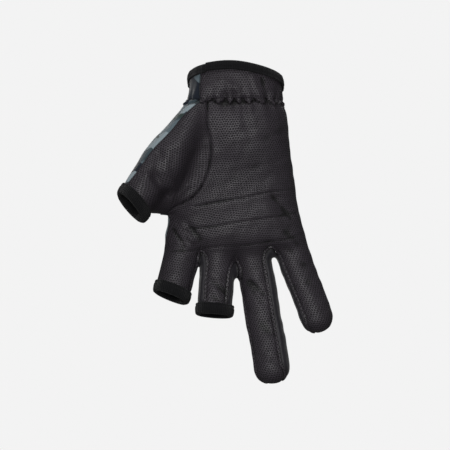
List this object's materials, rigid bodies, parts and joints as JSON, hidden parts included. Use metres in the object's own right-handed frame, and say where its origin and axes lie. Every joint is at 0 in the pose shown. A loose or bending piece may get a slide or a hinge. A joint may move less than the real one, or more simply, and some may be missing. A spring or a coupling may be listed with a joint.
{
  "type": "fishing glove",
  "caption": "Right-hand fishing glove with an embossed synthetic-leather palm, a camouflage fabric back, cut-short thumb, index and middle fingers, and a gathered wrist.",
  "frame": {"origin": "in the mouth of the cuff, where the hand goes in, over the middle of the palm", "axes": "+Z from the fingertips to the cuff, -Y the way the palm faces, -X to the thumb's side"},
  "size_m": [0.1391, 0.0654, 0.2086],
  "materials": {
    "palm_leather": "embossed, soft sheen",
    "camouflage_fabric": "printed stretch fabric, matte",
    "fourchette_fabric": "smooth stretch fabric",
    "binding_knit": "fine black knit tape"
  },
  "bodies": {
    "root": {"palm_panel": "palm_leather", "back_panel": "camouflage_fabric", "thumb_front": "palm_leather", "thumb_back": "camouflage_fabric", "fourchette_index_middle": "fourchette_fabric", "fourchette_middle_ring": "fourchette_fabric", "fourchette_ring_little": "fourchette_fabric", "wrist_binding": "binding_knit", "thumb_binding": "binding_knit", "index_binding": "binding_knit", "middle_binding": "binding_knit"}
  },
  "joints": []
}
